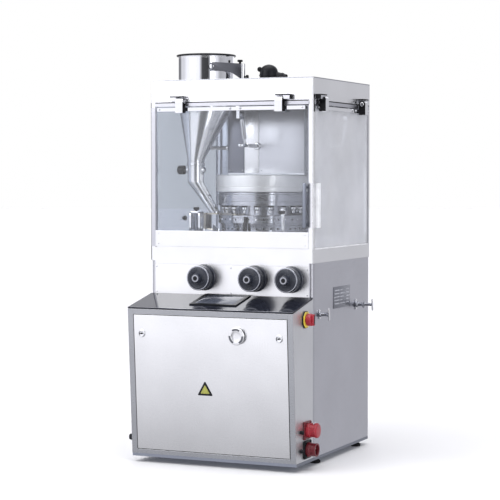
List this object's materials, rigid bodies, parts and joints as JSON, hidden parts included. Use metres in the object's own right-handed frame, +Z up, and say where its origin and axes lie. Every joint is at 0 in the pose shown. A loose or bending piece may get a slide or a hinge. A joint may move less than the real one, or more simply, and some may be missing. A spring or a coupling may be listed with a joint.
{
  "type": "rotary tablet press",
  "caption": "Rotary tablet press: stainless cabinet with a sloping control console, clear hinged windows, a turret under a press head, a hopper through the roof.",
  "frame": {"origin": "bottom centre of the bounding box, on the floor under the feet", "axes": "+X to the right of the operator who faces the console, +Y to the back of the machine, +Z up"},
  "size_m": [0.8656, 0.9065, 1.711],
  "materials": {
    "stainless": "brushed stainless sheet",
    "polished": "mirror polished stainless",
    "dark_steel": "machined dark steel",
    "cast_metal": "painted cast metal",
    "acrylic": "clear acrylic sheet",
    "black_glass": "dark tinted toughened glass",
    "black_plastic": "moulded black plastic",
    "slate_plastic": "dark slate moulded handwheel",
    "rubber": "black rubber",
    "red_plastic": "red moulded plastic",
    "yellow_plastic": "yellow moulded plastic",
    "brass": "machined bronze wearing plate"
  },
  "bodies": {
    "machine": {"foot_front_left": "rubber", "foot_front_right": "rubber", "foot_rear_left": "rubber", "foot_rear_right": "rubber", "base_plate": "stainless", "cabinet_shell": "stainless", "knob_panel": "stainless", "console_shell": "stainless", "console_top": "black_glass", "touch_screen": "black_plastic", "table_frame": "stainless", "roof_cap": "stainless", "dust_outlet": "black_plastic", "left_window": "acrylic", "rear_window": "stainless", "front_hinge_bar": "stainless", "front_stay": "polished", "side_hinge_bar": "stainless", "side_stay": "polished", "head_housing": "stainless", "upper_cam_ring": "polished", "hopper": "polished", "feed_frame": "brass", "discharge_chute": "polished", "hopper_arm": "stainless", "isolator_plate": "yellow_plastic", "socket_upper": "red_plastic", "socket_lower": "red_plastic", "cable_gland": "black_plastic", "side_knob_front": "polished", "side_knob_rear": "polished", "gear_bed": "cast_metal", "drive_motor": "cast_metal", "drive_belt": "rubber"},
    "front_window": {"front_window_pane": "acrylic", "front_window_band": "stainless", "front_window_rail": "polished", "front_window_handle": "stainless"},
    "front_strut_cylinder_body": {"front_strut_cylinder": "stainless"},
    "front_strut_rod_body": {"front_strut_rod": "polished"},
    "side_window": {"side_window_pane": "acrylic", "side_window_rail": "polished", "side_window_handle": "stainless"},
    "side_strut_cylinder_body": {"side_strut_cylinder": "stainless"},
    "side_strut_rod_body": {"side_strut_rod": "polished"},
    "door": {"front_door": "stainless"},
    "latch_left_body": {"latch_left": "polished"},
    "latch_right_body": {"latch_right": "polished"},
    "stop_button_body": {"stop_button": "polished"},
    "handwheel_left_body": {"handwheel_left": "slate_plastic"},
    "handwheel_middle_body": {"handwheel_middle": "slate_plastic"},
    "handwheel_right_body": {"handwheel_right": "slate_plastic"},
    "isolator": {"isolator_knob": "red_plastic"},
    "hopper_valve": {"valve_knob": "black_plastic"},
    "turret_body": {"turret": "polished", "upper_punches": "polished", "main_shaft": "dark_steel"},
    "worm": {"worm_shaft": "dark_steel"},
    "motor_shaft": {"motor_pulley": "dark_steel"},
    "roller": {"upper_roller": "dark_steel"}
  },
  "joints": [
    {"name": "front_window_swing", "type": "hinge", "parent": "machine", "child": "front_window", "pos_m": [-0.0175, -0.24661, 1.5], "axis": [-1, 0, 0], "range_deg": [0, 85]},
    {"name": "front_strut_tilt", "type": "hinge", "parent": "front_window", "child": "front_strut_cylinder_body", "pos_m": [0.0255, -0.20861, 1.44], "axis": [1, 0, 0], "range_deg": [0, 112.19]},
    {"name": "front_strut_stroke", "type": "slide", "parent": "front_strut_cylinder_body", "child": "front_strut_rod_body", "axis": [0, 0.2685, -0.9633], "range_m": [0, 0.0626]},
    {"name": "side_window_swing", "type": "hinge", "parent": "machine", "child": "side_window", "pos_m": [0.3725, 0.10739, 1.5], "axis": [0, -1, 0], "range_deg": [0, 85]},
    {"name": "side_strut_tilt", "type": "hinge", "parent": "side_window", "child": "side_strut_cylinder_body", "pos_m": [0.3345, 0.19139, 1.44], "axis": [0, 1, 0], "range_deg": [0, 116.02]},
    {"name": "side_strut_stroke", "type": "slide", "parent": "side_strut_cylinder_body", "child": "side_strut_rod_body", "axis": [-0.13, 0, -0.9915], "range_m": [0, 0.0544]},
    {"name": "door_tilt", "type": "hinge", "parent": "machine", "child": "door", "pos_m": [-0.0175, -0.40467, 0.05794], "axis": [1, 0, 0], "range_deg": [0, 80]},
    {"name": "latch_left_turn", "type": "hinge", "parent": "door", "child": "latch_left_body", "pos_m": [-0.3255, -0.43486, 0.54099], "axis": [0, -0.9981, -0.0624], "range_deg": [0, 90]},
    {"name": "latch_right_turn", "type": "hinge", "parent": "door", "child": "latch_right_body", "pos_m": [0.2905, -0.43486, 0.54099], "axis": [0, 0.9981, 0.0624], "range_deg": [0, 90]},
    {"name": "stop_press", "type": "slide", "parent": "door", "child": "stop_button_body", "axis": [0, 0.9981, 0.0624], "range_m": [0, 0.006], "stiffness_N_per_m": 1200},
    {"name": "handwheel_left_turn", "type": "hinge", "parent": "machine", "child": "handwheel_left_body", "pos_m": [-0.1375, -0.22661, 0.766], "axis": [0, -1, 0], "range_deg": [-540, 540]},
    {"name": "handwheel_middle_turn", "type": "hinge", "parent": "machine", "child": "handwheel_middle_body", "pos_m": [0.0955, -0.22661, 0.766], "axis": [0, -1, 0], "range_deg": [-540, 540]},
    {"name": "handwheel_right_turn", "type": "hinge", "parent": "machine", "child": "handwheel_right_body", "pos_m": [0.2585, -0.22661, 0.766], "axis": [0, -1, 0], "range_deg": [-540, 540]},
    {"name": "isolator_turn", "type": "hinge", "parent": "machine", "child": "isolator", "pos_m": [0.3528, -0.31061, 0.611], "axis": [1, 0, 0], "range_deg": [0, 90]},
    {"name": "valve_turn", "type": "hinge", "parent": "machine", "child": "hopper_valve", "pos_m": [-0.2525, -0.07161, 1.216], "axis": [1, 0, 0], "range_deg": [0, 90]},
    {"name": "turret_spin", "type": "hinge", "parent": "machine", "child": "turret_body", "pos_m": [-0.0175, 0.11839, 1], "axis": [0, 0, 1], "continuous": true},
    {"name": "worm_spin", "type": "hinge", "parent": "machine", "child": "worm", "pos_m": [-0.0175, 0.27539, 0.582], "axis": [1, 0, 0], "continuous": true},
    {"name": "motor_spin", "type": "hinge", "parent": "machine", "child": "motor_shaft", "pos_m": [-0.2825, 0.27539, 0.2], "axis": [1, 0, 0], "continuous": true},
    {"name": "roller_spin", "type": "hinge", "parent": "machine", "child": "roller", "pos_m": [0.1325, 0.11839, 1.292], "axis": [1, 0, 0], "continuous": true}
  ],
  "couplings": [
    {"joint": "front_strut_tilt", "follows": "front_window_swing", "ratio": 1.3199},
    {"joint": "front_strut_stroke", "follows": "front_window_swing", "m_per_rad": 0.042197},
    {"joint": "side_strut_tilt", "follows": "side_window_swing", "ratio": 1.3649},
    {"joint": "side_strut_stroke", "follows": "side_window_swing", "m_per_rad": 0.036669},
    {"joint": "worm_spin", "follows": "turret_spin", "ratio": 24},
    {"joint": "motor_spin", "follows": "turret_spin", "ratio": 48}
  ]
}
